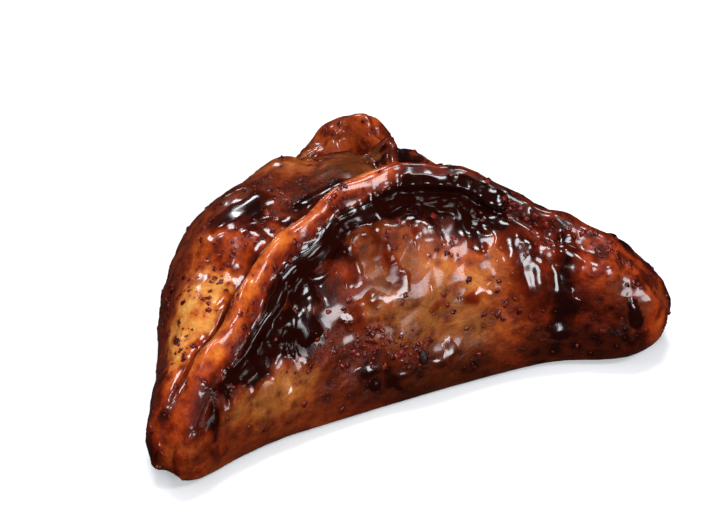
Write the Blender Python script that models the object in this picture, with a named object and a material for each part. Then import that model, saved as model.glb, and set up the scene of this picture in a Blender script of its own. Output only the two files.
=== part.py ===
"""A spinach fatayer: a small closed savoury pastry, about 77 mm long.

A thin round of dough is folded in from three sides over its filling and pinched shut along three seams, so it
bakes into a plump triangle with a fin along each seam, and the fins meet at the top. It is one closed piece,
and coarse flakes of spice stick to its glazed upper side.

Metres, +Z up. The pastry rests on its flat base at z = 0 with the origin under its middle. +X runs along the
front side, from the left corner to the right one, and the third corner points back, towards +Y.
"""

import math
import random

import bmesh
import bpy
from mathutils import Matrix, Vector, noise
from mathutils.bvhtree import BVHTree

# The plan is drawn from the left corner, and the finished pastry is then moved by this to centre its outline
CENTRING = Vector((-0.03745, -0.0213, 0.0))

# The three corners, counter-clockwise from above. Each nose is a rounded lobe that a seam runs out to.
# place: in plan. nose: plan radius of the lobe. crest: height of the fin's end. lift: gap under the nose.
# rise: how fast the fin climbs, 1 is a straight climb and less is a quick one. dip: saddle behind the nose.
# bow and sway: how far the seam runs to the left of a straight line, as one arch and as an S.
# lean: how far the fin leans over to the left of its seam, seen from the nose.
CORNERS = (
    dict(
        place=Vector((0.0, 0.0)), nose=0.0045, crest=0.0100, lift=0.0008, rise=0.85, dip=0.0,
        bow=0.0033, sway=-0.0010, lean=0.0014,
    ),
    dict(
        place=Vector((0.0750, 0.0)), nose=0.0062, crest=0.0122, lift=0.0008, rise=0.76, dip=0.0,
        bow=0.0, sway=0.0010, lean=-0.0008,
    ),
    dict(
        place=Vector((0.0458, 0.0454)), nose=0.0066, crest=0.0200, lift=0.0080, rise=1.0, dip=0.0045,
        bow=0.0, sway=0.0, lean=0.0020,
    ),
)

# The sides, each from a corner to the next one.
# hollow: how far the foot of the wall curves in from a straight line, or bulges out where it is negative.
# skew: below 1 the curve is deepest before the middle. belly: how far the wall bulges out over its foot.
# shoulder: share of the width that the wall stays high over. hump: its rise above the valley beside the fin.
SIDES = (
    dict(hollow=0.0008, skew=1.0, belly=0.0030, shoulder=0.50, hump=0.0014),
    dict(hollow=-0.0030, skew=1.0, belly=0.0035, shoulder=0.55, hump=0.0006),
    dict(hollow=-0.0138, skew=0.92, belly=0.0042, shoulder=0.90, hump=0.0036),
)

# Where the three seams meet
APEX = Vector((0.0422, 0.0203))
APEX_HEIGHT = 0.0276

# The fin, from the valley beside it to its crest, with the share of its height left at the nose and the share
# of the seam over which it grows. Its lean starts at its root, by a share of the lean of the crest.
FIN_HEIGHT = 0.0034
FIN_AT_NOSE = 0.15
FIN_GROWTH = 0.4
FIN_HALF_THICKNESS = 0.0013
FIN_ROOT_SPREAD = 1.9
LEAN_AT_ROOT = 0.4
PINCHES = 5
PINCH_HEIGHT = 0.0003
PINCH_SWAY = 0.0003

# The side walls. From FULL_WIDTH on, a wall has its whole inset at the foot, its whole belly over it and its
# whole fin, and below that they are shares of its width. HUMP_GROWTH is the share of the seam over which the
# hump grows, and CROWN the share over which its climb eases off at the apex.
FULL_WIDTH = 0.012
BASE_INSET = 0.0034
NARROW_INSET = 0.25
NARROW_BELLY = 0.12
NARROW_FIN = 0.3
BELLY_HEIGHT = 0.06
HUMP_GROWTH = 0.45
CROWN = 0.22

# The rounded end of a nose, seen from the side, against its radius in plan, the share of the seam that is
# lifted behind it, and the saddle on its fin
NOSE_STRETCH = 1.8
LIFTED_SHARE = 0.6
DIP_CENTRE = 0.42
DIP_SPREAD = 0.2

# Unevenness of the hand-rolled dough, which sets in over the first millimetres above the flat base
UNEVEN_FROM = 0.004
LUMP_SPACING = 0.0095
LUMP_HEIGHT = 0.0009
WRINKLE_SPACING = 0.0034
WRINKLE_HEIGHT = 0.00022
LUMP_SEED = 5

# The mesh: columns along each side, a multiple of four, and rows up the wall, up the fin and across the base,
# where they crowd towards the foot of the wall
SIDE_COLUMNS = 40
BASE_ROWS = 5
BASE_CROWDING = 3
WALL_ROWS = 13
FIN_ROWS = 5

# Spice flakes that show from a step away: half width, the share of it across, and the share through
FLAKE_SPACING = 0.0040
FLAKE_TRIES = 3000
FLAKE_HALF_WIDTH = (0.00055, 0.00085)
FLAKE_BREADTH = (0.60, 0.95)
FLAKE_THICKNESS = (0.50, 0.75)
FLAKE_SINK = 0.25
FLAKE_LOWEST = 0.006
FLAKE_STEEPEST = 0.25
FLAKE_SEED = 7


def smooth(value):
    """A soft step from 0 to 1 as the value goes from 0 to 1."""
    value = min(max(value, 0.0), 1.0)
    return value * value * (3 - 2 * value)


def bezier(points, share):
    a, b, c, d = points
    rest = 1 - share
    return a * rest**3 + b * 3 * share * rest**2 + c * 3 * share**2 * rest + d * share**3


def raised(plan, height):
    return Vector((plan.x, plan.y, height))


def crowned(along):
    """The way along a seam with its last stretch eased, so that a wall runs smoothly past the apex."""
    rest = 1 - along
    return 1 - (math.hypot(rest, CROWN) - CROWN) / (math.hypot(1, CROWN) - CROWN)


def seam_plan(corner, along):
    """Plan place of a seam, from its nose (along = 0) to the apex (along = 1)."""
    run = APEX - corner["place"]
    left = Vector((-run.y, run.x)).normalized()
    aside = corner["bow"] * math.sin(math.pi * along) + corner["sway"] * math.sin(2 * math.pi * along)
    return corner["place"] + run * along + left * aside


def rounded(distance, radius):
    """0 at the tip of a round end and 1 from its radius on: a quarter of an ellipse."""
    reach = min(distance / radius, 1.0)
    return math.sqrt(1 - (1 - reach) ** 2)


def nose_closing(corner, along):
    """How far the nose has opened out to its full height, at this way along its seam."""
    return rounded(along * (APEX - corner["place"]).length, NOSE_STRETCH * corner["nose"])


def nose_height(corner):
    """Height of the tip of the nose, half way between its underside and the end of the fin."""
    return (corner["crest"] + corner["lift"]) / 2


def underside(plan):
    """Height of the bottom: flat, and curling up under the rounded end of each nose."""
    height = 0.0
    for corner in CORNERS:
        along = (plan - corner["place"]).length / (APEX - corner["place"]).length
        closed = nose_closing(corner, along)
        lifted = corner["lift"] * (1 - smooth(along / LIFTED_SHARE))
        height += lifted * closed + nose_height(corner) * (1 - closed)
    return height


def crest_point(corner, along):
    """Top of the fin: it climbs to the apex, leans over one side and waves where fingers pinched it."""
    run = APEX - corner["place"]
    left = Vector((-run.y, run.x)).normalized()
    middle = math.sin(math.pi * along)
    pinch = math.sin(2 * math.pi * PINCHES * along)
    plan = seam_plan(corner, along) + left * middle * (PINCH_SWAY * pinch + corner["lean"])
    height = corner["crest"] + (APEX_HEIGHT - corner["crest"]) * crowned(along) ** corner["rise"]
    height -= corner["dip"] * middle * math.exp(-(((along - DIP_CENTRE) / DIP_SPREAD) ** 2))
    height += PINCH_HEIGHT * middle * math.cos(2 * math.pi * PINCHES * along)
    return raised(plan, nose_height(corner) + (height - nose_height(corner)) * nose_closing(corner, along))


def side_frame(side):
    """Start of a side, its direction, its outward normal in plan and its length."""
    start, end = CORNERS[side]["place"], CORNERS[(side + 1) % 3]["place"]
    edge = end - start
    forward = edge.normalized()
    return start, forward, Vector((forward.y, -forward.x)), edge.length


def wall_width(side, corner, along):
    """Plan distance from the seam to the foot of the wall: a round-ended horn that widens into the side."""
    start, forward, outward, length = side_frame(side)
    seam = seam_plan(corner, along) - start
    share = min(max(seam.dot(forward) / length, 0.0), 1.0)
    hollow = SIDES[side]["hollow"] * math.sin(math.pi * share ** SIDES[side]["skew"])
    tip_distance = along * (APEX - corner["place"]).length
    horn = corner["nose"] * rounded(tip_distance, corner["nose"]) * (1 - smooth(along))
    return math.hypot(max(-seam.dot(outward) - hollow, 0.0), horn)


def wall_profile(side, share):
    """Control points of the wall and of the fin's flank above it, at a share of the way along one side."""
    corner, along = CORNERS[side], 2 * share
    if share > 0.5:
        corner, along = CORNERS[(side + 1) % 3], 2 - 2 * share
    shape = SIDES[side]
    outward = side_frame(side)[2]
    run = APEX - corner["place"]
    square = Vector((-run.y, run.x)).normalized()
    square *= math.copysign(1.0, square.dot(outward))
    drawn_in = (seam_plan(corner, crowned(along)) - seam_plan(corner, along)).dot(outward)
    outward = square.lerp(outward, smooth(along)).normalized()

    seam = seam_plan(corner, along)
    crest = crest_point(corner, along)
    closed = nose_closing(corner, along)
    width = wall_width(side, corner, along)
    fullness = smooth(width / FULL_WIDTH)
    half_fin = min(FIN_HALF_THICKNESS, NARROW_FIN * width)
    fin = FIN_HEIGHT * (FIN_AT_NOSE + (1 - FIN_AT_NOSE) * smooth(along / FIN_GROWTH)) * closed
    brow_height = crest.z - fin + shape["hump"] * fullness * smooth(along / HUMP_GROWTH)
    inset = BASE_INSET * fullness + NARROW_INSET * width * (1 - fullness)
    belly = shape["belly"] * fullness + NARROW_BELLY * width * (1 - fullness)
    brow = shape["shoulder"] * (width - drawn_in) + drawn_in + half_fin
    leaning = (crest.xy - seam) * LEAN_AT_ROOT

    foot = seam + outward * (width - inset)
    foot = raised(foot, underside(foot))
    low = raised(seam + outward * (width + belly), foot.z + BELLY_HEIGHT * (crest.z - foot.z))
    high = raised(seam + outward * brow, brow_height)
    root = raised(seam + leaning + outward * FIN_ROOT_SPREAD * half_fin, crest.z - fin)
    turn = root + (root - high).normalized() * half_fin
    wall = (foot, low, high, root)
    flank = (root, turn, crest + raised(outward * half_fin, 0), crest)
    return wall, flank


def surface_point(side, share, row):
    """A point of the smooth surface: row 0 is the middle of the base, and the last one the seams' crest."""
    wall, flank = wall_profile(side, share)
    if row <= BASE_ROWS:
        out = 1 - (1 - row / BASE_ROWS) ** BASE_CROWDING
        plan = APEX.lerp(wall[0].xy, out)
        return raised(plan, underside(plan))
    if row <= BASE_ROWS + WALL_ROWS:
        return bezier(wall, (row - BASE_ROWS) / WALL_ROWS)
    return bezier(flank, (row - BASE_ROWS - WALL_ROWS) / FIN_ROWS)


def unevenness(point):
    """Low lumps and finer wrinkles, fading out at the flat base."""
    lumps = noise.noise_vector(point / LUMP_SPACING) * LUMP_HEIGHT
    wrinkles = noise.noise_vector(point / WRINKLE_SPACING) * WRINKLE_HEIGHT
    return (lumps + wrinkles) * smooth(point.z / UNEVEN_FROM)


def make_dough():
    """A ball whose meridians run from the middle of the base, up the sides, to the seams that close it."""
    columns = 3 * SIDE_COLUMNS
    rows = BASE_ROWS + WALL_ROWS + FIN_ROWS
    mesh = bmesh.new()
    bmesh.ops.create_uvsphere(mesh, u_segments=columns, v_segments=rows + 1, radius=1.0)
    top = max(mesh.verts, key=lambda vertex: vertex.co.z)
    bmesh.ops.delete(mesh, geom=[top], context="VERTS")
    for vertex in mesh.verts:
        column = round(math.atan2(vertex.co.y, vertex.co.x) / math.tau * columns) % columns
        row = round(math.acos(max(-1.0, min(1.0, -vertex.co.z))) / math.pi * (rows + 1))
        side, step = divmod(column, SIDE_COLUMNS)
        share = (1 - math.cos(math.pi * step / SIDE_COLUMNS)) / 2
        point = surface_point(side, share, row)
        vertex.co = point + unevenness(point) + CENTRING
    bmesh.ops.remove_doubles(mesh, verts=mesh.verts, dist=1e-6)
    bmesh.ops.triangulate(mesh, faces=mesh.faces, quad_method="SHORT_EDGE")
    bmesh.ops.recalc_face_normals(mesh, faces=mesh.faces)
    return mesh


def flake_places(mesh, draw):
    """Places for the flakes, spread evenly over the upper side: each keeps clear of those before it."""
    surface = BVHTree.FromBMesh(mesh)
    last_row = BASE_ROWS + WALL_ROWS + FIN_ROWS
    places = []
    for _ in range(FLAKE_TRIES):
        drawn = surface_point(draw.randrange(3), draw.random(), draw.uniform(BASE_ROWS, last_row))
        point, normal, _, _ = surface.find_nearest(drawn + CENTRING)
        if point.z < FLAKE_LOWEST or normal.z < FLAKE_STEEPEST:
            continue
        if all((point - other).length > FLAKE_SPACING for other, _ in places):
            places.append((point, normal))
    return places


def object_from(mesh, name, collection, material):
    data = bpy.data.meshes.new(name)
    mesh.to_mesh(data)
    mesh.free()
    data.materials.append(material)
    made = bpy.data.objects.new(name, data)
    collection.objects.link(made)
    return made


def make_flake(number, point, normal, collection, material, draw):
    """One angular flake, wider than it is thick, lying on the glaze and a little sunk into it."""
    width = draw.uniform(*FLAKE_HALF_WIDTH)
    size = Vector((width, width * draw.uniform(*FLAKE_BREADTH), width * draw.uniform(*FLAKE_THICKNESS)))
    mesh = bmesh.new()
    bmesh.ops.create_icosphere(mesh, subdivisions=1, radius=1.0)
    upright = normal.to_track_quat("Z", "Y").to_matrix().to_4x4()
    lie = upright @ Matrix.Rotation(draw.uniform(0, math.tau), 4, "Z")
    lie.translation = point + normal * size.z * (1 - 2 * FLAKE_SINK)
    bmesh.ops.transform(mesh, matrix=lie @ Matrix.Diagonal(size).to_4x4(), verts=mesh.verts)
    return object_from(mesh, f"flake_{number:03d}", collection, material)


def fuse(body, grains):
    """Joins a collection of small pieces to the body, so that the pastry is one solid, and removes them."""
    union = body.modifiers.new("grains", "BOOLEAN")
    union.operation = "UNION"
    union.operand_type = "COLLECTION"
    union.collection = grains
    union.solver = "EXACT"
    graph = bpy.context.evaluated_depsgraph_get()
    fused = bpy.data.meshes.new_from_object(body.evaluated_get(graph))
    body.modifiers.remove(union)
    body.data = fused
    for grain in list(grains.objects):
        bpy.data.objects.remove(grain)
    bpy.data.collections.remove(grains)


def make_material(name, colour, roughness):
    material = bpy.data.materials.new(name)
    material.use_nodes = True
    shader = material.node_tree.nodes["Principled BSDF"]
    shader.inputs["Base Color"].default_value = (*colour, 1.0)
    shader.inputs["Roughness"].default_value = roughness
    shader.inputs["Metallic"].default_value = 0.0
    return material


for leftover in list(bpy.data.objects):
    bpy.data.objects.remove(leftover)
pastry = bpy.data.collections.new("spinach_fatayer")
bpy.context.scene.collection.children.link(pastry)
flakes = bpy.data.collections.new("spice_flakes")
bpy.context.scene.collection.children.link(flakes)

noise.seed_set(LUMP_SEED)
random_draw = random.Random(FLAKE_SEED)
glazed_dough = make_material("glazed_dough", (0.30, 0.10, 0.03), 0.3)
spice = make_material("spice", (0.12, 0.01, 0.01), 0.5)
dough = make_dough()
for index, (spot, facing) in enumerate(flake_places(dough, random_draw)):
    make_flake(index, spot, facing, flakes, spice, random_draw)
fatayer = object_from(dough, "fatayer", pastry, glazed_dough)
fuse(fatayer, flakes)
fatayer.data.shade_smooth()
fatayer.data.set_sharp_from_angle(angle=math.radians(35))
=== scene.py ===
"""The looks of a spinach fatayer: a small folded pastry under a dark, sticky glaze with spice flakes.

Metres, +Z up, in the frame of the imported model. The relief of the skin, the depth of the glaze, the spacing
of the grain and ways down a wall are in mm.
"""

import math
import random

import bmesh
import bpy
import numpy as np
from mathutils import Matrix, Vector, noise
from mathutils.bvhtree import BVHTree
from mathutils.kdtree import KDTree


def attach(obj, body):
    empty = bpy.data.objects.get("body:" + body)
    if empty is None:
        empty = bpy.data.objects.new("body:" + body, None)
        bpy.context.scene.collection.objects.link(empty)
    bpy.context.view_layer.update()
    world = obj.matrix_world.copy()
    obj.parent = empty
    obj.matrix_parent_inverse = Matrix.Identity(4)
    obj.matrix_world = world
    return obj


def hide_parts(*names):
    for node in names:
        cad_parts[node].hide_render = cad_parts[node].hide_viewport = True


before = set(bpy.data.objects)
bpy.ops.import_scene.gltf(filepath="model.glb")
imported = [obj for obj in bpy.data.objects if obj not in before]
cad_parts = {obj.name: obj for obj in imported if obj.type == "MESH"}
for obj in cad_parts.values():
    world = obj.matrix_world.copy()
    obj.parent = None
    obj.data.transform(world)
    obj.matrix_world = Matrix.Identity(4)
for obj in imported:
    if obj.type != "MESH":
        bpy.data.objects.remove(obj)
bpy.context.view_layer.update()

bpy.ops.object.select_all(action="DESELECT")


# ---- The dough -------------------------------------------------------------------------------------------
# A thin round of soft dough, folded in from three sides over the filling and pinched shut along three
# seams. It is hand rolled and hand pinched, so its walls are lumpy and its fins lean and wave. It is baked
# on its base, from gold on the walls to almost black in the hollows where syrup gathers. Its colours also
# carry painted shade in the hollows and along the foot, and a painted highlight on the belly.

MM = 0.001
CORNERS = (
    dict(
        place=Vector((0.0, 0.0)), nose=0.0045, crest=0.0100, lift=0.0008, rise=0.85, dip=0.0,
        bow=0.0033, sway=-0.0010, lean=0.0014,
    ),
    dict(
        place=Vector((0.0750, 0.0)), nose=0.0062, crest=0.0122, lift=0.0008, rise=0.76, dip=0.0,
        bow=0.0, sway=0.0010, lean=-0.0008,
    ),
    dict(
        place=Vector((0.0458, 0.0454)), nose=0.0066, crest=0.0200, lift=0.0080, rise=1.0, dip=0.0045,
        bow=0.0, sway=0.0, lean=0.0020,
    ),
)
SIDES = (
    dict(hollow=0.0008, skew=1.0, belly=0.0030, shoulder=0.50, hump=0.0014),
    dict(hollow=-0.0030, skew=1.0, belly=0.0035, shoulder=0.55, hump=0.0006),
    dict(hollow=-0.0138, skew=0.92, belly=0.0042, shoulder=0.90, hump=0.0036),
)
CENTRING = Vector((-0.03745, -0.0213, 0.0))
APEX = Vector((0.0422, 0.0203))
APEX_HEIGHT = 0.0276
FIN_HEIGHT = 0.0034
FIN_AT_NOSE = 0.15
FIN_GROWTH = 0.4
FIN_HALF_THICKNESS = 0.0013
FIN_ROOT_SPREAD = 1.9
LEAN_AT_ROOT = 0.4
PINCHES = 5
PINCH_HEIGHT = 0.0003
PINCH_SWAY = 0.0003
FULL_WIDTH = 0.012
BASE_INSET = 0.0034
NARROW_INSET = 0.25
NARROW_BELLY = 0.12
NARROW_FIN = 0.3
BELLY_HEIGHT = 0.06
HUMP_GROWTH = 0.45
CROWN = 0.22
NOSE_STRETCH = 1.8
LIFTED_SHARE = 0.6
DIP_CENTRE = 0.42
DIP_SPREAD = 0.2
UNEVEN_FROM = 0.004
LUMP_SPACING = 0.0095
LUMP_HEIGHT = 0.0009
WRINKLE_SPACING = 0.0034
WRINKLE_HEIGHT = 0.00022
LUMP_SEED = 5

SIDE_COLUMNS = 192
BASE_ROWS = 14
BASE_CROWDING = 3
WALL_ROWS = 96
FIN_ROWS = 28
EVEN_COLUMNS = 0.65
NOSE_COLUMNS = 4
NOSE_REACH = 2.2
SAME_POINT = 1e-6


def smooth(value):
    value = min(max(value, 0.0), 1.0)
    return value * value * (3 - 2 * value)


def bezier(points, share):
    a, b, c, d = points
    rest = 1 - share
    return a * rest**3 + b * 3 * share * rest**2 + c * 3 * share**2 * rest + d * share**3


def raised(plan, height):
    return Vector((plan.x, plan.y, height))


def crowned(along):
    rest = 1 - along
    return 1 - (math.hypot(rest, CROWN) - CROWN) / (math.hypot(1, CROWN) - CROWN)


def seam_plan(corner, along):
    run = APEX - corner["place"]
    left = Vector((-run.y, run.x)).normalized()
    aside = corner["bow"] * math.sin(math.pi * along) + corner["sway"] * math.sin(2 * math.pi * along)
    return corner["place"] + run * along + left * aside


def rounded(distance, radius):
    reach = min(distance / radius, 1.0)
    return math.sqrt(1 - (1 - reach) ** 2)


def nose_closing(corner, along):
    return rounded(along * (APEX - corner["place"]).length, NOSE_STRETCH * corner["nose"])


def nose_height(corner):
    return (corner["crest"] + corner["lift"]) / 2


def underside(plan):
    height = 0.0
    for corner in CORNERS:
        along = (plan - corner["place"]).length / (APEX - corner["place"]).length
        closed = nose_closing(corner, along)
        lifted = corner["lift"] * (1 - smooth(along / LIFTED_SHARE))
        height += lifted * closed + nose_height(corner) * (1 - closed)
    return height


def crest_point(corner, along):
    run = APEX - corner["place"]
    left = Vector((-run.y, run.x)).normalized()
    middle = math.sin(math.pi * along)
    pinch = math.sin(2 * math.pi * PINCHES * along)
    plan = seam_plan(corner, along) + left * middle * (PINCH_SWAY * pinch + corner["lean"])
    height = corner["crest"] + (APEX_HEIGHT - corner["crest"]) * crowned(along) ** corner["rise"]
    height -= corner["dip"] * middle * math.exp(-(((along - DIP_CENTRE) / DIP_SPREAD) ** 2))
    height += PINCH_HEIGHT * middle * math.cos(2 * math.pi * PINCHES * along)
    return raised(plan, nose_height(corner) + (height - nose_height(corner)) * nose_closing(corner, along))


def side_frame(side):
    start, end = CORNERS[side]["place"], CORNERS[(side + 1) % 3]["place"]
    edge = end - start
    forward = edge.normalized()
    return start, forward, Vector((forward.y, -forward.x)), edge.length


def wall_width(side, corner, along):
    start, forward, outward, length = side_frame(side)
    seam = seam_plan(corner, along) - start
    share = min(max(seam.dot(forward) / length, 0.0), 1.0)
    hollow = SIDES[side]["hollow"] * math.sin(math.pi * share ** SIDES[side]["skew"])
    tip_distance = along * (APEX - corner["place"]).length
    horn = corner["nose"] * rounded(tip_distance, corner["nose"]) * (1 - smooth(along))
    return math.hypot(max(-seam.dot(outward) - hollow, 0.0), horn)


def wall_profile(side, share):
    corner, along = CORNERS[side], 2 * share
    if share > 0.5:
        corner, along = CORNERS[(side + 1) % 3], 2 - 2 * share
    shape = SIDES[side]
    outward = side_frame(side)[2]
    run = APEX - corner["place"]
    square = Vector((-run.y, run.x)).normalized()
    square *= math.copysign(1.0, square.dot(outward))
    drawn_in = (seam_plan(corner, crowned(along)) - seam_plan(corner, along)).dot(outward)
    outward = square.lerp(outward, smooth(along)).normalized()

    seam = seam_plan(corner, along)
    crest = crest_point(corner, along)
    closed = nose_closing(corner, along)
    width = wall_width(side, corner, along)
    fullness = smooth(width / FULL_WIDTH)
    half_fin = min(FIN_HALF_THICKNESS, NARROW_FIN * width)
    fin = FIN_HEIGHT * (FIN_AT_NOSE + (1 - FIN_AT_NOSE) * smooth(along / FIN_GROWTH)) * closed
    brow_height = crest.z - fin + shape["hump"] * fullness * smooth(along / HUMP_GROWTH)
    inset = BASE_INSET * fullness + NARROW_INSET * width * (1 - fullness)
    belly = shape["belly"] * fullness + NARROW_BELLY * width * (1 - fullness)
    brow = shape["shoulder"] * (width - drawn_in) + drawn_in + half_fin
    leaning = (crest.xy - seam) * LEAN_AT_ROOT

    foot = seam + outward * (width - inset)
    foot = raised(foot, underside(foot))
    low = raised(seam + outward * (width + belly), foot.z + BELLY_HEIGHT * (crest.z - foot.z))
    high = raised(seam + outward * brow, brow_height)
    root = raised(seam + leaning + outward * FIN_ROOT_SPREAD * half_fin, crest.z - fin)
    turn = root + (root - high).normalized() * half_fin
    return (foot, low, high, root), (root, turn, crest + raised(outward * half_fin, 0), crest)


def unevenness(point):
    lumps = noise.noise_vector(point / LUMP_SPACING) * LUMP_HEIGHT
    wrinkles = noise.noise_vector(point / WRINKLE_SPACING) * WRINKLE_HEIGHT
    return (lumps + wrinkles) * smooth(point.z / UNEVEN_FROM)


def skin_line(side, share):
    """One line of the skin, from the middle of the base up the wall to the crest of the seam."""
    wall, flank = wall_profile(side, share)
    points = []
    for row in range(BASE_ROWS):
        plan = APEX.lerp(wall[0].xy, 1 - (1 - row / BASE_ROWS) ** BASE_CROWDING)
        points.append(raised(plan, underside(plan)))
    points += [bezier(wall, row / WALL_ROWS) for row in range(WALL_ROWS)]
    points += [bezier(flank, row / FIN_ROWS) for row in range(FIN_ROWS + 1)]
    return [point + unevenness(point) + CENTRING for point in points]


noise.seed_set(LUMP_SEED)
COLUMNS = 3 * SIDE_COLUMNS
ROWS = BASE_ROWS + WALL_ROWS + FIN_ROWS
evenly = np.arange(SIDE_COLUMNS) / SIDE_COLUMNS
side_shares = EVEN_COLUMNS * evenly + (1 - EVEN_COLUMNS) * (1 - np.cos(np.pi * evenly)) / 2
skin = np.array([skin_line(side, share) for side in range(3) for share in side_shares])

# The noses close down to the foot, with no pocket under them
for nose in range(3):
    beside = skin[nose * SIDE_COLUMNS + NOSE_COLUMNS, BASE_ROWS, 2]
    for column in range(nose * SIDE_COLUMNS - NOSE_COLUMNS, nose * SIDE_COLUMNS + NOSE_COLUMNS):
        skin[column, :BASE_ROWS, 2] = np.minimum(skin[column, :BASE_ROWS, 2], beside)

steps = np.linalg.norm(np.diff(skin, axis=1), axis=2)
travelled = np.concatenate([np.zeros((COLUMNS, 1)), np.cumsum(steps, axis=1)], axis=1)
drop = (travelled[:, BASE_ROWS + WALL_ROWS, None] - travelled) / MM
below_crest = (travelled[:, -1:] - travelled) / MM

bpy.ops.mesh.primitive_grid_add(x_subdivisions=COLUMNS, y_subdivisions=ROWS, size=2, calc_uvs=False)
dough = bpy.context.object
dough.name = dough.data.name = "dough"
flat = np.array([vertex.co for vertex in dough.data.vertices])
column_of = np.rint((flat[:, 0] + 1) / 2 * COLUMNS).astype(int) % COLUMNS
row_of = np.rint((flat[:, 1] + 1) / 2 * ROWS).astype(int)
for name, values in (("column", column_of), ("row", row_of)):
    dough.data.attributes.new(name, "INT", "POINT").data.foreach_set("value", values.astype(np.int32))
dough.data.vertices.foreach_set("co", skin[column_of, row_of].ravel())
bpy.ops.object.mode_set(mode="EDIT")
bpy.ops.mesh.select_all(action="SELECT")
bpy.ops.mesh.remove_doubles(threshold=SAME_POINT)
bpy.ops.mesh.normals_make_consistent(inside=False)
bpy.ops.mesh.select_all(action="DESELECT")
bpy.ops.object.mode_set(mode="OBJECT")
for nose in range(3):
    tip = skin[nose * SIDE_COLUMNS, BASE_ROWS - 2]
    for vertex in dough.data.vertices:
        if (vertex.co - Vector(tip)).length < NOSE_REACH * MM:
            vertex.select = True
bpy.ops.object.mode_set(mode="EDIT")
bpy.ops.mesh.vertices_smooth(factor=0.5, repeat=25)
bpy.ops.object.mode_set(mode="OBJECT")
bpy.ops.object.shade_smooth()


def read(mesh, name):
    values = np.zeros(len(mesh.vertices), np.int32)
    mesh.attributes[name].data.foreach_get("value", values)
    return values


def places(mesh):
    values = np.zeros(3 * len(mesh.vertices), np.float32)
    mesh.vertices.foreach_get("co", values)
    return values.reshape(-1, 3).astype(float)


def eased(values):
    values = np.clip(values, 0, 1)
    return values * values * (3 - 2 * values)


def grain(points, spacing, shift=0.0):
    """Soft noise, about -1 to 1, one value for each point; the spacing is in mm."""
    return np.array([noise.noise(Vector(point) / (spacing * MM)) for point in points + shift])


def layered(points, layers):
    """Grain in layers, each of (height, spacing in mm, shift)."""
    return sum(height * grain(points, spacing, shift) for height, spacing, shift in layers)


def fading(away, reach):
    """1 on a line, fading softly with the distance from it."""
    return np.exp(-((away / reach) ** 2))


def patch(away, reach):
    """1 over a patch as wide as its reach, with a firm edge."""
    return np.exp(-((away / reach) ** 4))


def spot(side, share, down):
    """The point of the skin on a side, at a share of its length and so many mm down from the fin's root."""
    column = int(round(np.interp(share, side_shares, range(SIDE_COLUMNS)))) + side * SIDE_COLUMNS
    row = np.interp(-down, -drop[column, BASE_ROWS:], np.arange(BASE_ROWS, ROWS + 1))
    return skin[column, int(round(row))]


def trail(side, *stops):
    """A line over the skin through stops of (share, mm down), as closely spaced points."""
    shares, downs = np.array(stops).T
    ticks = np.linspace(0, len(stops) - 1, 8 * (len(stops) - 1) + 1)
    shares, downs = (np.interp(ticks, range(len(stops)), values) for values in (shares, downs))
    return np.array([spot(side, share, down) for share, down in zip(shares, downs)])


def near(line, points):
    """How many mm each point is from the line, and how far along the line it comes nearest, 0 to 1."""
    best = np.full(len(points), 1e9)
    along = np.zeros(len(points))
    for index, (start, end) in enumerate(zip(line, line[1:])):
        run = end - start
        reach = np.clip((points - start) @ run / max(run @ run, 1e-12), 0, 1)
        away = np.linalg.norm(points - start - reach[:, None] * run, axis=1) / MM
        nearer = away < best
        best[nearer] = away[nearer]
        along[nearer] = (index + reach[nearer]) / (len(line) - 1)
    return best, along


column_of, row_of = read(dough.data, "column"), read(dough.data, "row")
plain = places(dough.data)
outward = np.array([normal.vector for normal in dough.data.vertex_normals])
side_of = column_of // SIDE_COLUMNS
share_of = side_shares[column_of % SIDE_COLUMNS]
drop_of = drop[column_of, row_of]
crest_of = below_crest[column_of, row_of]
height_of = plain[:, 2] / MM

# Relief of the dough, in mm along its normals: pleats below the fins, dimples and pimples
PLEAT_HEIGHT, PLEAT_SPACING = 0.20, 1.6
PLEATS_FROM, PLEATS_FADE = 3, 9
PLEAT_STRETCH = 0.0002
SIDE_LENGTH = 0.075
DIMPLE_HEIGHT, DIMPLE_SPACING = 0.18, 3.1
PIMPLE_HEIGHT, PIMPLE_SPACING = 0.09, 1.3
CREST_CLEARANCE = 2.5
FOOT_CLEARANCE = 3
SOFT_ENDS = 0.08


def drawn_down(stretch):
    """Places where noise makes streaks down the walls: the lower the stretch, the longer the streaks."""
    return np.column_stack([side_of + share_of * SIDE_LENGTH, drop_of * stretch, np.zeros(len(plain))])


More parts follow.
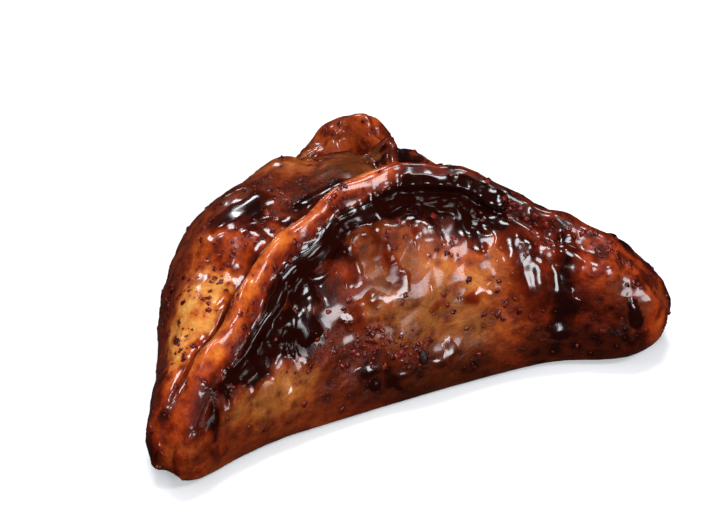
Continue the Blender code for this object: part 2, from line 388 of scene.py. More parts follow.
ends = eased(np.minimum(share_of, 1 - share_of) / SOFT_ENDS)
pleats = eased(crest_of / CREST_CLEARANCE) * eased(1 - (drop_of - PLEATS_FROM) / PLEATS_FADE) * ends
relief = PLEAT_HEIGHT * grain(drawn_down(PLEAT_STRETCH), PLEAT_SPACING) * pleats
relief += DIMPLE_HEIGHT * grain(plain, DIMPLE_SPACING)
relief += PIMPLE_HEIGHT * grain(plain, PIMPLE_SPACING, 1.0)
CREASES = (
    # side, height, half width in mm, stops of (share, mm down)
    (2, -0.75, 0.60, [(0.965, -0.2), (0.90, -0.5), (0.70, -0.6), (0.53, -0.6)]),
    (2, 0.30, 0.45, [(0.93, -1.9), (0.80, -2.3), (0.60, -2.5)]),
    (0, -0.60, 1.20, [(0.035, 0.9), (0.062, 0.5), (0.085, 0.4)]),
    (0, -0.95, 1.30, [(0.08, 0.8), (0.16, 1.6), (0.26, 3.0), (0.34, 2.4), (0.45, 1.4), (0.52, 0.8)]),
    (0, -0.60, 0.90, [(0.62, -0.2), (0.70, -0.5), (0.77, -0.5)]),
    (0, -1.10, 1.90, [(0.46, 1.4), (0.52, 1.6), (0.58, 1.8), (0.64, 1.4)]),
    (0, 0.70, 0.90, [(0.46, -1.6), (0.54, -1.8), (0.62, -2.0), (0.70, -1.8)]),
    (0, -0.80, 1.60, [(0.17, 2.6), (0.22, 4.5), (0.25, 7.0)]),
    (2, -0.50, 0.80, [(0.60, 3.0), (0.66, 5.5), (0.70, 9.0)]),
    (0, -0.30, 0.70, [(0.44, 2.0), (0.46, 6.0), (0.45, 9.0)]),
    (2, -0.50, 0.80, [(0.12, 0.5), (0.25, 0.5), (0.42, 0.5)]),
    (1, -0.80, 1.10, [(0.12, 0.8), (0.30, 1.2), (0.50, 1.2), (0.72, 1.2), (0.88, 0.8)]),
)
CREASE_WAVER, CREASE_WAVER_SPACING = 0.25, 2.2
CREASE_CLEARANCE = 1.2
for side, height, reach, stops in CREASES:
    away, along = near(trail(side, *stops), plain)
    away = away * (1 + CREASE_WAVER * grain(plain, CREASE_WAVER_SPACING, 1.3))
    there = eased(crest_of / CREASE_CLEARANCE) * (side_of == side)
    there = there * eased(np.minimum(along, 1 - along) / SOFT_ENDS)
    relief += height * fading(away, reach) * there
BULGES = (
    # side, height, stops of (share, mm down), reach in mm
    (0, 0.45, [(0.03, -0.8), (0.12, -1.8)], 1.8),
    (2, -1.50, [(0.11, 4.0), (0.16, 3.0), (0.20, 4.0)], 2.8),
    (2, -1.40, [(0.40, 8.0), (0.46, 9.0), (0.52, 10.0)], 3.6),
    (0, 0.5, [(0.54, 11.5), (0.61, 12.0)], 5.0),
    (0, 0.5, [(0.84, 2.0), (0.90, 4.5)], 2.6),
    (0, 0.7, [(0.81, 0.0), (0.87, 0.5)], 2.2),
    (0, -0.8, [(0.79, 3.0), (0.79, 11.0)], 1.8),
    (0, 0.5, [(0.70, 3.0), (0.74, 9.0)], 2.5),
)
BULGE_CLEARANCE = 3
for side, height, stops, reach in BULGES:
    away, _ = near(trail(side, *stops), plain)
    bulge = height * fading(away, reach) * (side_of == side)
    relief += bulge * eased(crest_of / BULGE_CLEARANCE)

# A smooth place on the left flank, where a still pool of glaze lies
POOL_SIDE, POOL_STOPS, POOL_REACH = 2, ((0.62, 7.5), (0.66, 10.0)), 2.4
POOL_SMOOTHNESS = 0.8
away, _ = near(trail(POOL_SIDE, *POOL_STOPS), plain)
still = patch(away, POOL_REACH) * (side_of == POOL_SIDE)
relief *= eased(height_of / FOOT_CLEARANCE) * (1 - POOL_SMOOTHNESS * still)
shaped = plain + outward * (relief * MM)[:, None]
dough.data.vertices.foreach_set("co", shaped.ravel())
dough.data.update()

# How dark the skin is, from 0, pale gold, to 1, almost black, and how dry: dry skin is dull and tan
# The darkness also holds painted shade in the hollows and along the foot, and a painted highlight on the
# belly
BAKED_AND_PAINTED_LIGHT = (
    # side, darkness, dryness, stops of (share, mm down from the root of the fin), reach in mm
    (0, 0.50, 0.0, [(0.020, -1.5), (0.042, -2.6), (0.062, -2.2), (0.10, -2.6)], 1.2),
    (0, 0.28, 0.0, [(0.10, -2.6), (0.20, -3.3), (0.30, -3.7), (0.48, -3.9)], 1.4),
    (0, 0.60, 0.0, [(0.12, -0.4), (0.20, -0.9), (0.30, -1.5), (0.48, -1.8)], 1.0),
    # painted shade: the crease right of the ridge at the front corner
    (0, 0.86, 0.0, [(0.040, 0.6), (0.062, 0.2), (0.083, -0.2), (0.11, 0.6)], 1.5),
    (0, 0.50, 0.3, [(0.015, 1.5), (0.04, 5.0), (0.07, 6.5)], 1.7),
    (0, 0.50, 0.0, [(0.50, -4.3), (0.64, -4.0)], 0.9),
    # painted shade: the groove on the left of the front seam's lip
    (2, 0.74, 0.0, [(0.97, -0.2), (0.80, -0.5), (0.53, -0.5)], 0.7),
    # painted shade: the groove right of the fold at the front corner
    (0, 0.84, 0.0, [(0.06, 1.5), (0.09, 1.8), (0.16, 1.8)], 1.3),
    (0, 0.45, 0.9, [(0.12, 6.0), (0.16, 7.5)], 2.4),
    (0, 0.44, 0.9, [(0.19, 8.5), (0.24, 12.0)], 2.8),
    # the hollow right of the front seam's lip: dark syrup pooled there, with painted shade darkening it
    # further
    (0, 0.95, 0.0, [(0.16, 2.0), (0.22, 4.5), (0.27, 8.5)], 2.1),
    (0, 0.92, 0.0, [(0.31, 3.5), (0.34, 5.5)], 2.0),
    (0, 0.56, 0.0, [(0.36, 5.0), (0.39, 9.0)], 2.2),
    # partly a darker crust, partly painted shade: low on the front, towards the foot
    (0, 0.68, 0.2, [(0.31, 13.0), (0.34, 18.0)], 2.8),
    (0, 0.54, 0.7, [(0.44, 6.0), (0.50, 7.0)], 2.6),
    (0, 0.52, 0.8, [(0.40, 9.0), (0.46, 10.0)], 2.5),
    (0, 0.46, 1.0, [(0.42, 11.0), (0.44, 17.0)], 2.8),
    # a paler patch on the belly: partly paler dough, partly a painted highlight
    (0, 0.31, 0.5, [(0.52, 11.5), (0.57, 10.5), (0.62, 11.0)], 2.8),
    (0, 0.49, 1.0, [(0.50, 17.0), (0.56, 20.0)], 3.4),
    # under the apex, below the overhanging fin: dark syrup, with painted shade darkening it further
    (0, 0.92, 0.0, [(0.49, 1.0), (0.55, 2.5), (0.61, 2.5)], 2.2),
    (0, 0.66, 0.0, [(0.54, 5.5), (0.60, 6.0)], 1.8),
    # partly a duller crust at the foot, partly painted shade along the bottom of the front
    (0, 0.78, 0.3, [(0.30, 19.0), (0.40, 23.5)], 2.2),
    (0, 0.84, 0.5, [(0.45, 27.0), (0.60, 26.0)], 2.6),
    (0, 0.50, 0.3, [(0.66, 13.0), (0.67, 20.0)], 2.5),
    (0, 0.56, 0.0, [(0.74, 1.0), (0.76, 4.0)], 2.0),
    (0, 0.60, 0.0, [(0.795, -2.0), (0.80, 4.0), (0.79, 12.0)], 1.2),
    (0, 0.38, 0.0, [(0.86, -1.0), (0.93, 0.5)], 3.0),
    # partly painted shade under the nose of the right corner
    (0, 0.72, 0.0, [(0.85, 6.0), (0.90, 5.5)], 2.6),
    (0, 0.46, 0.0, [(0.80, -1.0), (0.87, 1.0)], 2.0),
    (0, 0.60, 0.0, [(0.93, 3.5), (0.945, 6.0)], 1.0),
    (0, 0.42, 0.0, [(0.97, 2.0), (0.98, 4.0)], 1.5),
    # partly dark syrup drips, partly painted shade along the right part of the foot
    (0, 0.88, 0.2, [(0.58, 25.5), (0.66, 22.0), (0.72, 18.5), (0.80, 15.0), (0.92, 11.0)], 2.4),
    (0, 0.64, 0.9, [(0.90, 2.5), (0.94, 3.5)], 1.7),
    # partly painted shade: darker low beside the front corner
    (0, 0.64, 0.4, [(0.06, 7.0), (0.14, 13.0), (0.22, 17.0)], 2.0),
    (0, 0.58, 0.0, [(0.55, -2.8), (0.85, -2.5)], 2.2),
    (2, 0.42, 0.0, [(0.86, -2.0), (0.97, 0.0)], 1.8),
    (2, 0.10, 0.3, [(0.78, 5.5), (0.88, 3.6)], 3.0),
    (2, 0.42, 0.0, [(0.69, 3.0), (0.72, 6.0)], 2.6),
    (2, 0.44, 0.2, [(0.56, -1.5), (0.66, -1.0)], 2.4),
    (2, 0.62, 1.1, [(0.44, 1.5), (0.50, 5.0)], 2.8),
    (2, 0.58, 1.0, [(0.34, -1.0), (0.40, 3.0)], 2.4),
    (2, 0.62, 0.3, [(0.57, 4.5), (0.61, 7.0), (0.60, 13.0)], 3.0),
    (2, 0.66, 0.0, [(0.64, 8.0), (0.65, 10.0)], 1.6),
    (2, 0.40, 0.2, [(0.70, 9.0), (0.76, 8.5)], 2.4),
    (2, 0.62, 0.2, [(0.72, 13.5), (0.80, 12.0), (0.88, 9.5)], 2.2),
    (2, 0.70, 0.0, [(0.90, 5.5), (0.95, 4.0)], 1.6),
    (2, 0.48, 0.2, [(0.05, -1.0), (0.13, -1.0)], 4.5),
    (2, 0.42, 0.5, [(0.20, 10.0), (0.45, 12.0)], 4.0),
    (1, 0.38, 0.1, [(0.80, -3.0), (0.90, 1.0)], 4.0),
    (1, 0.36, 0.2, [(0.25, 8.0), (0.70, 8.0)], 5.0),
    (1, 0.52, 0.0, [(0.10, 0.0), (0.45, -2.0), (0.80, 0.0)], 3.5),
    (1, 0.26, 0.7, [(0.40, 14.0), (0.60, 14.0)], 4.0),
    (1, 0.50, 0.8, [(0.10, 16.0), (0.50, 24.0), (0.90, 16.0)], 4.0),
)
ELSEWHERE_WEIGHT, ELSEWHERE_DARKNESS, ELSEWHERE_DRYNESS = 0.05, 0.50, 0.20
OVER_THE_CREST = 2
weights = np.full(len(plain), ELSEWHERE_WEIGHT)
soaked_and_painted_light = np.full(len(plain), ELSEWHERE_WEIGHT * ELSEWHERE_DARKNESS)
dryness = np.full(len(plain), ELSEWHERE_WEIGHT * ELSEWHERE_DRYNESS)
for side, darkness, dry, stops, reach in BAKED_AND_PAINTED_LIGHT:
    away, _ = near(trail(side, *stops), plain)
    reached = np.where(side_of == side, 1, eased(1 - crest_of / OVER_THE_CREST))
    weight = fading(away, reach) * reached
    weights += weight
    soaked_and_painted_light += darkness * weight
    dryness += dry * weight
soaked_and_painted_light, dryness = soaked_and_painted_light / weights, dryness / weights

# Uneven baking and splashes of syrup, which leave the even lip of the front seam almost alone
LIP_STOPS = ((0.0, 2.0), (0.04, -0.5), (0.12, -2.0), (0.30, -2.8), (0.48, -2.8))
LIP_REACH, LIP_EVENNESS = 2.2, 0.75
CLOUDS = ((0.08, 5.0, 2.0), (0.04, 1.8, 3.0))
SPLASHES = ((1.0, 2.8, 2.5), (0.5, 1.1, 2.7))
SPLASHES_THIN_OUT, SPLASHES_REACH = 0.55, 14
SPLASH_DARKNESS, SPLASH_FROM, SPLASH_RIM = 0.20, 0.08, 0.30
TAKEN_FROM, TAKEN_OVER, DRY_KEEPS_OFF = -0.1, 0.3, 0.7
DRY_PATCHES = ((0.6, 3.2, 4.2), (0.4, 1.1, 4.7))
DRY_LEVEL, DRIEST = 0.95, 1.1
away, _ = near(trail(0, *LIP_STOPS), plain)
lively = 1 - LIP_EVENNESS * patch(away, LIP_REACH)
soaked_and_painted_light += layered(plain, CLOUDS) * lively
splashes = layered(plain, SPLASHES) - SPLASHES_THIN_OUT * np.clip(drop_of / SPLASHES_REACH, 0, 1)
taking = eased((soaked_and_painted_light - TAKEN_FROM) / TAKEN_OVER) * lively * (1 - DRY_KEEPS_OFF * dryness)
soaked_and_painted_light += SPLASH_DARKNESS * eased((splashes - SPLASH_FROM) / SPLASH_RIM) * taking
dryness *= np.clip(DRY_LEVEL + layered(plain, DRY_PATCHES), 0, DRIEST)

# The hollows beside the seams, where the glaze is burnt dull and takes no light, and a dull patch below
HOLLOWS = (
    # side, dullness, stops of (share, mm down), reach in mm
    (0, 1.0, [(0.05, 1.5), (0.14, 1.8), (0.22, 3.5), (0.26, 7.5)], 2.4),
    (0, 1.0, [(0.25, 3.0), (0.34, 2.0), (0.42, 1.2)], 1.5),
    (0, 1.0, [(0.48, 0.8), (0.56, 1.2), (0.62, 1.6)], 2.5),
    (0, 0.75, [(0.42, 5.5), (0.43, 10.0), (0.47, 7.5)], 2.4),
)
sheltered = np.zeros(len(plain))
for side, dullness, stops, reach in HOLLOWS:
    away, _ = near(trail(side, *stops), plain)
    sheltered = np.maximum(sheltered, dullness * patch(away, reach) * (side_of == side))


def ramped(nodes, links, darkness, stops):
    ramp = nodes.new("ShaderNodeValToRGB")
    for place, _ in stops[1:-1]:
        ramp.color_ramp.elements.new(place)
    for element, (place, colour) in zip(ramp.color_ramp.elements, stops):
        element.position = place
        element.color = (*colour, 1)
    links.new(darkness, ramp.inputs["Fac"])
    return ramp.outputs["Color"]


def baked_colours(nodes, links, darkness):
    """Pale gold dough through orange-brown and red-brown to almost black syrup, by darkness from 0 to 1."""
    glazed = ramped(nodes, links, darkness, (
        (0.0, (0.74, 0.42, 0.125)),
        (0.15, (0.66, 0.26, 0.048)),
        (0.30, (0.50, 0.108, 0.013)),
        (0.45, (0.30, 0.036, 0.0045)),
        (0.60, (0.15, 0.013, 0.0025)),
        (0.80, (0.050, 0.0042, 0.0011)),
        (1.0, (0.010, 0.0012, 0.0006)),
    ))
    dry = ramped(nodes, links, darkness, (
        (0.0, (0.66, 0.39, 0.125)),
        (0.20, (0.46, 0.202, 0.050)),
        (0.40, (0.27, 0.086, 0.017)),
        (0.60, (0.12, 0.028, 0.006)),
        (1.0, (0.010, 0.0012, 0.0006)),
    ))
    blend = nodes.new("ShaderNodeMix")
    blend.data_type = "RGBA"
    links.new(of_the_skin(nodes, "dryness"), blend.inputs[0])
    links.new(glazed, blend.inputs[6])
    links.new(dry, blend.inputs[7])
    return blend.outputs[2]


def mottling(nodes, links, spacing, detail=4.0):
    """Noise of that spacing in mm, in the object's own space."""
    coordinates = nodes.new("ShaderNodeTexCoord")
    texture = nodes.new("ShaderNodeTexNoise")
    texture.inputs["Scale"].default_value = 1 / (spacing * MM)
    texture.inputs["Detail"].default_value = detail
    links.new(coordinates.outputs["Object"], texture.inputs["Vector"])
    return texture.outputs["Fac"]


def worked(nodes, links, operation, first, second):
    node = nodes.new("ShaderNodeMath")
    node.operation = operation
    links.new(first, node.inputs[0])
    links.new(second, node.inputs[1])
    return node.outputs[0]


def between(nodes, links, value, start, end, low, high):
    """low where the value is at start, high where it is at end, and held there beyond them."""
    node = nodes.new("ShaderNodeMapRange")
    node.inputs["From Min"].default_value, node.inputs["From Max"].default_value = start, end
    node.inputs["To Min"].default_value, node.inputs["To Max"].default_value = low, high
    links.new(value, node.inputs["Value"])
    return node.outputs["Result"]


def of_the_skin(nodes, name):
    node = nodes.new("ShaderNodeAttribute")
    node.attribute_name = name
    return node.outputs["Fac"]


def bumped(nodes, links, height, distance, under=None):
    """A bump as deep as that distance in mm, on top of the bump under it."""
    bump = nodes.new("ShaderNodeBump")
    bump.inputs["Distance"].default_value = distance * MM
    bump.inputs["Strength"].default_value = 1.0
    links.new(height, bump.inputs["Height"])
    if under:
        links.new(under, bump.inputs["Normal"])
    return bump.outputs["Normal"]


MOTTLE_SPACING, MOTTLE_DARKNESS = 1.9, 0.05
SPECKLE_SPACING, SPECKLE_DARKNESS = 0.45, 0.04
THIN_GLAZE, THICK_GLAZE, THICK_GLAZE_DARKNESS = 0.03, 0.50, 0.66


def darkness_here(nodes, links):
    """The darkness painted on the skin, mottled and speckled, and more of it where the glaze lies thick."""
    mottle = mottling(nodes, links, MOTTLE_SPACING, 2.0)
    mottle = between(nodes, links, mottle, 0.35, 0.65, -MOTTLE_DARKNESS, MOTTLE_DARKNESS)
    speckle = mottling(nodes, links, SPECKLE_SPACING)
    speckle = between(nodes, links, speckle, 0.3, 0.7, -SPECKLE_DARKNESS, SPECKLE_DARKNESS)
    syrup = of_the_skin(nodes, "depth")
    syrup = between(nodes, links, syrup, THIN_GLAZE, THICK_GLAZE, 0.0, THICK_GLAZE_DARKNESS)
    total = worked(nodes, links, "ADD", of_the_skin(nodes, "soaked_and_painted_light"), mottle)
    total = worked(nodes, links, "ADD", total, speckle)
    return worked(nodes, links, "ADD", syrup, total)


baked_dough = bpy.data.materials.new("baked_dough")
baked_dough.use_nodes = True
nodes, links = baked_dough.node_tree.nodes, baked_dough.node_tree.links
shader = nodes["Principled BSDF"]
darkness = darkness_here(nodes, links)
links.new(baked_colours(nodes, links, darkness), shader.inputs["Base Color"])
dullness = between(nodes, links, of_the_skin(nodes, "dryness"), 0.0, 1.0, 0.0, 0.06)
sheen = between(nodes, links, darkness, 0.1, 0.55, 0.42, 0.34)
links.new(worked(nodes, links, "ADD", sheen, dullness), shader.inputs["Roughness"])
wetness = between(nodes, links, of_the_skin(nodes, "dryness"), 0.0, 1.2, 1.0, 0.12)
wet = worked(nodes, links, "MULTIPLY", between(nodes, links, darkness, 0.12, 0.50, 0.45, 0.9), wetness)
open_skin = between(nodes, links, of_the_skin(nodes, "sheltered"), 0.0, 1.0, 1.0, 0.1)
wet = worked(nodes, links, "MULTIPLY", wet, open_skin)
links.new(wet, shader.inputs["Coat Weight"])
shader.inputs["Specular IOR Level"].default_value = 0.08
shader.inputs["Coat Roughness"].default_value = 0.15
shader.inputs["Subsurface Weight"].default_value = 0.12
shader.inputs["Subsurface Radius"].default_value = (0.0025, 0.0009, 0.0003)
shader.inputs["Subsurface Scale"].default_value = 1.0
coarse = bumped(nodes, links, mottling(nodes, links, 1.0, 3.0), 0.30)
links.new(bumped(nodes, links, mottling(nodes, links, 0.30), 0.06, coarse), shader.inputs["Normal"])
dough.data.materials.clear()
dough.data.materials.append(baked_dough)

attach(dough, "root")
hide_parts("fatayer")


# ---- The glaze -------------------------------------------------------------------------------------------
# A dark, sticky syrup, brushed on and baked until it ran: it lies in pools along the pinched seams and
# hangs in beads and streaks down the walls. It is a thin skin of its own, a copy of the dough's raised by
# the depth of the syrup and cut away where there is none, and it stains the dough under it.

RUNS = (
    # side, width, thickness, stops of (share, mm down from the root of the fin)
    (0, 1.7, 0.50, [(0.18, 1.4), (0.25, 1.2), (0.33, 0.6), (0.42, 0.4), (0.50, 0.8)]),
    (0, 2.0, 0.26, [(0.235, 1.5), (0.265, 5.0), (0.28, 8.0)]),
    (0, 2.6, 0.65, [(0.48, 0.5), (0.54, 0.5), (0.60, -0.8), (0.66, -1.6)]),
    (0, 2.0, 0.18, [(0.63, -1.0), (0.67, 1.5), (0.70, 4.5), (0.73, 7.0), (0.745, 9.5)]),
    (0, 1.9, 0.24, [(0.80, -1.5), (0.805, 2.0), (0.79, 5.0), (0.80, 8.0), (0.785, 12.5)]),
    (0, 0.8, 0.30, [(0.38, 22.8), (0.384, 23.6)]),
    (0, 1.0, 0.35, [(0.93, 3.5), (0.945, 5.5)]),
    (0, 1.1, 0.14, [(0.385, 2.0), (0.39, 5.0), (0.385, 8.0)]),
    (0, 1.1, 0.16, [(0.44, 2.5), (0.445, 5.0), (0.45, 8.0), (0.455, 12.0)]),
    (0, 0.8, 0.20, [(0.49, 2.0), (0.50, 5.0)]),
    (0, 0.9, 0.20, [(0.60, 1.5), (0.615, 4.5), (0.62, 7.0)]),
    (2, 0.9, 0.28, [(0.54, 1.5), (0.60, 2.0)]),
    (1, 1.8, 0.60, [(0.12, 1.0), (0.25, 1.2), (0.38, 1.3), (0.50, 1.2)]),
    (1, 1.6, 0.55, [(0.50, 1.2), (0.60, 1.3), (0.72, 1.0)]),
)
EDGE_SLOPE = 0.35
DEEPEST_SINK = 0.15
SKIN = 0.30

# The film: streaks that start at the seams and thin out down the wall, and blots between them
STREAK_STRETCH, STREAK_SPACING = 0.00028, 1.9
STREAK_FRAYS = ((0.4, 1.5, 0.7), (0.18, 0.7, 0.9))
FILM_REACH, LEFT_FILM_REACH = 11.0, 9.0
FILM_REACH_WAVER, FILM_REACH_SPACING = 0.5, 6.0
FILM_THICKNESS, FILM_LEVEL, FILM_THINNING = 0.42, 0.42, 1.1
FILM_MOST, FILM_UNEVENNESS = 0.26, ((0.1, 2.4, 1.7),)
BLOTS = ((1.0, 4.0, 6.0), (0.6, 1.5, 7.0))
BLOT_THICKNESS, BLOT_LEVEL, BLOT_MOST = 0.30, 0.42, 0.2
MORE_FILM_IN_THE_DARK, MORE_BLOTS_IN_THE_DARK, MIDDLE_DARKNESS = 0.5, 0.6, 0.4
streak_places = drawn_down(STREAK_STRETCH)
streaks = grain(streak_places, STREAK_SPACING, 0.3) + layered(plain, STREAK_FRAYS)
reach_down = np.where(side_of == 2, LEFT_FILM_REACH, FILM_REACH)
reach_down = reach_down * (1 + FILM_REACH_WAVER * grain(streak_places * (1, 0, 0), FILM_REACH_SPACING))
thinning = FILM_THINNING * np.clip(drop_of / reach_down, 0, 2)
darker = soaked_and_painted_light - MIDDLE_DARKNESS
film = FILM_THICKNESS * (streaks + FILM_LEVEL - thinning + MORE_FILM_IN_THE_DARK * darker)
film = np.minimum(film, FILM_MOST + layered(plain, FILM_UNEVENNESS))
blots = BLOT_THICKNESS * (layered(plain, BLOTS) - BLOT_LEVEL + MORE_BLOTS_IN_THE_DARK * darker)

# Where the film has run off or was never brushed on
BARE = (
    # side, stops of (share, mm down), reach in mm
    (0, [(0.02, 0.0), (0.12, -2.0), (0.48, -2.8)], 1.9),
    (2, [(0.98, 0.0), (0.88, -2.0), (0.52, -2.8)], 1.9),
    (0, [(0.84, 5.0), (0.95, 3.0)], 2.5),
    (2, [(0.04, 0.0), (0.14, 0.0)], 4.5),
    (2, [(0.80, 7.0), (0.92, 6.0)], 4.0),
    (1, [(0.78, -3.0), (0.92, 0.0)], 4.0),
    (0, [(0.62, -4.0), (0.78, -3.2)], 1.5),
    (0, [(0.74, -2.5), (0.83, -2.0), (0.90, 0.0)], 3.0),
    (2, [(0.55, 4.0), (0.60, 6.0)], 2.5),
    (2, [(0.60, 12.5), (0.66, 13.0)], 2.0),
    (2, [(0.36, 0.0), (0.50, 5.0)], 3.0),
    (0, [(0.50, -4.4), (0.62, -4.0)], 1.2),
)
MISSING = 0.35
missing = np.zeros(len(plain))
for side, stops, reach in BARE:
    away, _ = near(trail(side, *stops), plain)
    missing = np.maximum(missing, patch(away, reach))
film -= MISSING * missing
blots -= MISSING * missing

# The runs: rounded beads on the film, wider towards their ends, with a stain in the dough round each
WAVER = ((0.5, 0.8, 4.5), (0.6, 1.6, 4.0), (0.7, 3.6, 5.0))
WAVER_WIDTH, BEAD_ROUNDNESS = 2.4, 0.8
RUN_START, RUN_SWELLING = 0.8, 0.35
STAIN_REACH, STAIN_DARKNESS = 2.0, 0.36
stain = np.zeros(len(plain))
waver = layered(plain, WAVER)
depth = np.maximum(film, np.minimum(blots, BLOT_MOST))
for side, width, thickness, stops in RUNS:
    away, along = near(trail(side, *stops), plain)
    away = np.maximum(away + waver * width / WAVER_WIDTH, 0)
    swelling = RUN_START + RUN_SWELLING * along
    bead = np.clip(1 - (away / (width * swelling)) ** 2, 0, 1) ** BEAD_ROUNDNESS * thickness * swelling
    edge = -EDGE_SLOPE * (away - width * swelling)
    layer = np.where(away < width * swelling, bead, edge)
    depth = np.maximum(depth, np.where(side_of == side, layer, -1.0))
    beyond = np.maximum(away - width, 0)
    stain = np.maximum(stain, thickness * fading(beyond, STAIN_REACH) * (side_of == side))
soaked_and_painted_light += STAIN_DARKNESS * stain * lively

# Hardly any syrup stays on the crests of the fins, and none runs to the foot
CREST_LOSS, CREST_BARE, CREST_FADE = 0.5, 0.4, 1.2
FOOT_FADE = 4
RIPPLE_HEIGHT, WAVELET_HEIGHT, WAVELET_SPACING = 0.20, 0.15, 1.8
RIPPLED_DEPTH = 0.12
POOL_DEPTH, POOL_STILLNESS = 0.22, 0.95
WET_DEPTH = 0.2
SAME_DEPTH = 0.001
depth -= CREST_LOSS * eased(1 - (crest_of - CREST_BARE) / CREST_FADE) + eased(1 - height_of / FOOT_FADE)
depth = np.maximum(depth, -DEEPEST_SINK)
ripples = RIPPLE_HEIGHT * grain(streak_places, STREAK_SPACING, 8.0)
ripples = (ripples + WAVELET_HEIGHT * grain(plain, WAVELET_SPACING, 9.0)) * eased(depth / RIPPLED_DEPTH)
depth += (POOL_DEPTH - depth) * still
ripples *= 1 - POOL_STILLNESS * still

bpy.ops.object.select_all(action="DESELECT")
glaze = bpy.data.objects.new("glaze", dough.data.copy())
glaze.data.name = "glaze"
bpy.context.collection.objects.link(glaze)
glaze.select_set(True)
bpy.context.view_layer.objects.active = glaze
over = shaped + outward * ((depth + ripples) * MM)[:, None]
glaze.data.vertices.foreach_set("co", over.ravel())
glaze.data.update()
buried = depth <= -DEEPEST_SINK + SAME_DEPTH

# What the materials of both pieces read: the dough shows wherever the glaze is cut away
dryness *= 1 - eased(depth / WET_DEPTH)
painted = {"soaked_and_painted_light": soaked_and_painted_light, "depth": np.maximum(depth, 0), "dryness": dryness, "sheltered": sheltered}
for name, values in painted.items():
    for piece in (dough, glaze):
        layer = piece.data.attributes.new(name, "FLOAT", "POINT")
        layer.data.foreach_set("value", values.astype(np.float32))

bpy.ops.object.mode_set(mode="EDIT")
bpy.ops.mesh.select_mode(type="VERT")
bpy.ops.mesh.select_all(action="DESELECT")
bpy.ops.object.mode_set(mode="OBJECT")
glaze.data.vertices.foreach_set("select", buried)
bpy.ops.object.mode_set(mode="EDIT")
bpy.ops.mesh.delete(type="VERT")

# Where two patches of film meet in one point, that point goes, so that each has a rim of its own
film_mesh = bmesh.from_edit_mesh(glaze.data)
touching = True
while touching:
    rims = [(point, sum(edge.is_boundary for edge in point.link_edges)) for point in film_mesh.verts]
    touching = [point for point, rim_edges in rims if rim_edges > 2]
    bmesh.ops.delete(film_mesh, geom=touching, context="VERTS")
bmesh.update_edit_mesh(glaze.data)
bpy.ops.mesh.select_all(action="SELECT")
bpy.ops.mesh.delete_loose()
bpy.ops.object.mode_set(mode="OBJECT")

dark_glaze = bpy.data.materials.new("dark_glaze")
dark_glaze.use_nodes = True
nodes, links = dark_glaze.node_tree.nodes, dark_glaze.node_tree.links
shader = nodes["Principled BSDF"]
darkness = darkness_here(nodes, links)
links.new(baked_colours(nodes, links, darkness), shader.inputs["Base Color"])
smoothness = between(nodes, links, mottling(nodes, links, 2.2), 0.35, 0.65, 0.06, 0.18)
links.new(smoothness, shader.inputs["Roughness"])
open_skin = between(nodes, links, of_the_skin(nodes, "sheltered"), 0.0, 1.0, 1.0, 0.05)
links.new(open_skin, shader.inputs["Coat Weight"])
shader.inputs["Specular IOR Level"].default_value = 0.04
shader.inputs["Coat Roughness"].default_value = 0.14
coarse = bumped(nodes, links, mottling(nodes, links, 2.0, 1.0), 0.24)
links.new(bumped(nodes, links, mottling(nodes, links, 0.5, 2.0), 0.03, coarse), shader.inputs["Normal"])
glaze.data.materials.clear()
glaze.data.materials.append(dark_glaze)

wall = glaze.modifiers.new("wall", "SOLIDIFY")
wall.thickness = SKIN * MM
wall.offset = -1
bpy.ops.object.modifier_apply(modifier="wall")
bpy.ops.object.shade_smooth()

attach(glaze, "root")


# ---- The spice flakes ------------------------------------------------------------------------------------
# Coarse dark red flakes of dried spice, sprinkled over the wet glaze, where they stick and soak it up. They
# fall in drifts and a few thick clusters, and bleed a little into the dough and the glaze they lie on.

FLAKES = 1900
FLAKE_SEED = 11
FLAKE_SIZES = (0.08, 0.50)
MOSTLY_SMALL = 3.2
FLAKE_STRETCH = (0.8, 1.3)
FLAKE_SCATTER = 0.2
FLAKE_TILT = 0.3
FLAKE_SINK = 0.05
CHIPS = 5
CHIP_JAGGEDNESS = 0.9
CHIP_FLATNESS = 0.24
CLUSTERS = (
    # side, crowding, stops of (share, mm down), reach in mm
    (0, 4.0, [(0.35, 16.0), (0.41, 18.5), (0.46, 21.5)], 1.8),
    (0, 1.2, [(0.66, 13.0), (0.72, 14.0)], 1.5),
    (0, 1.0, [(0.30, 12.0), (0.36, 17.0)], 4.0),
    (0, 0.3, [(0.10, -2.0), (0.45, -2.5)], 2.0),
    (0, 1.0, [(0.60, -2.5), (0.90, -1.0)], 3.0),
    (2, 2.4, [(0.87, 3.5), (0.91, 4.5)], 1.6),
    (2, 1.2, [(0.70, 4.0), (0.84, 4.0)], 3.0),
    (2, 1.2, [(0.55, 3.0), (0.62, 10.0)], 3.0),
)

bpy.ops.object.select_all(action="DESELECT")
draw = random.Random(FLAKE_SEED)
chips = []
for _ in range(CHIPS):
    bpy.ops.mesh.primitive_ico_sphere_add(subdivisions=2, radius=1.0)
    chip = bpy.context.object
    offset = Vector([draw.uniform(0, 50) for _ in range(3)])
    for vertex in chip.data.vertices:
        vertex.co *= 1 + CHIP_JAGGEDNESS * noise.noise(vertex.co * 1.5 + offset)
        vertex.co.z *= CHIP_FLATNESS
    bpy.ops.object.shade_smooth()
    chips.append(chip.data)
    bpy.data.objects.remove(chip)


def surface(piece):
    """The faces of a piece, for finding what lies nearest."""
    points = [tuple(vertex.co) for vertex in piece.data.vertices]
    return BVHTree.FromPolygons(points, [tuple(face.vertices) for face in piece.data.polygons])


top, glaze_top = surface(dough), surface(glaze)
ABOVE_SKIN = 2


def landing(point, normal):
    """Where something that falls on the skin at that point comes to rest, on the glaze or on the dough."""
    start = point + normal * ABOVE_SKIN * MM
    hits = [tree.ray_cast(start, -normal, 2 * ABOVE_SKIN * MM) for tree in (top, glaze_top)]
    hits = [hit for hit in hits if hit[0] is not None]
    return min(hits, key=lambda hit: hit[3])[:2] if hits else (point, normal)


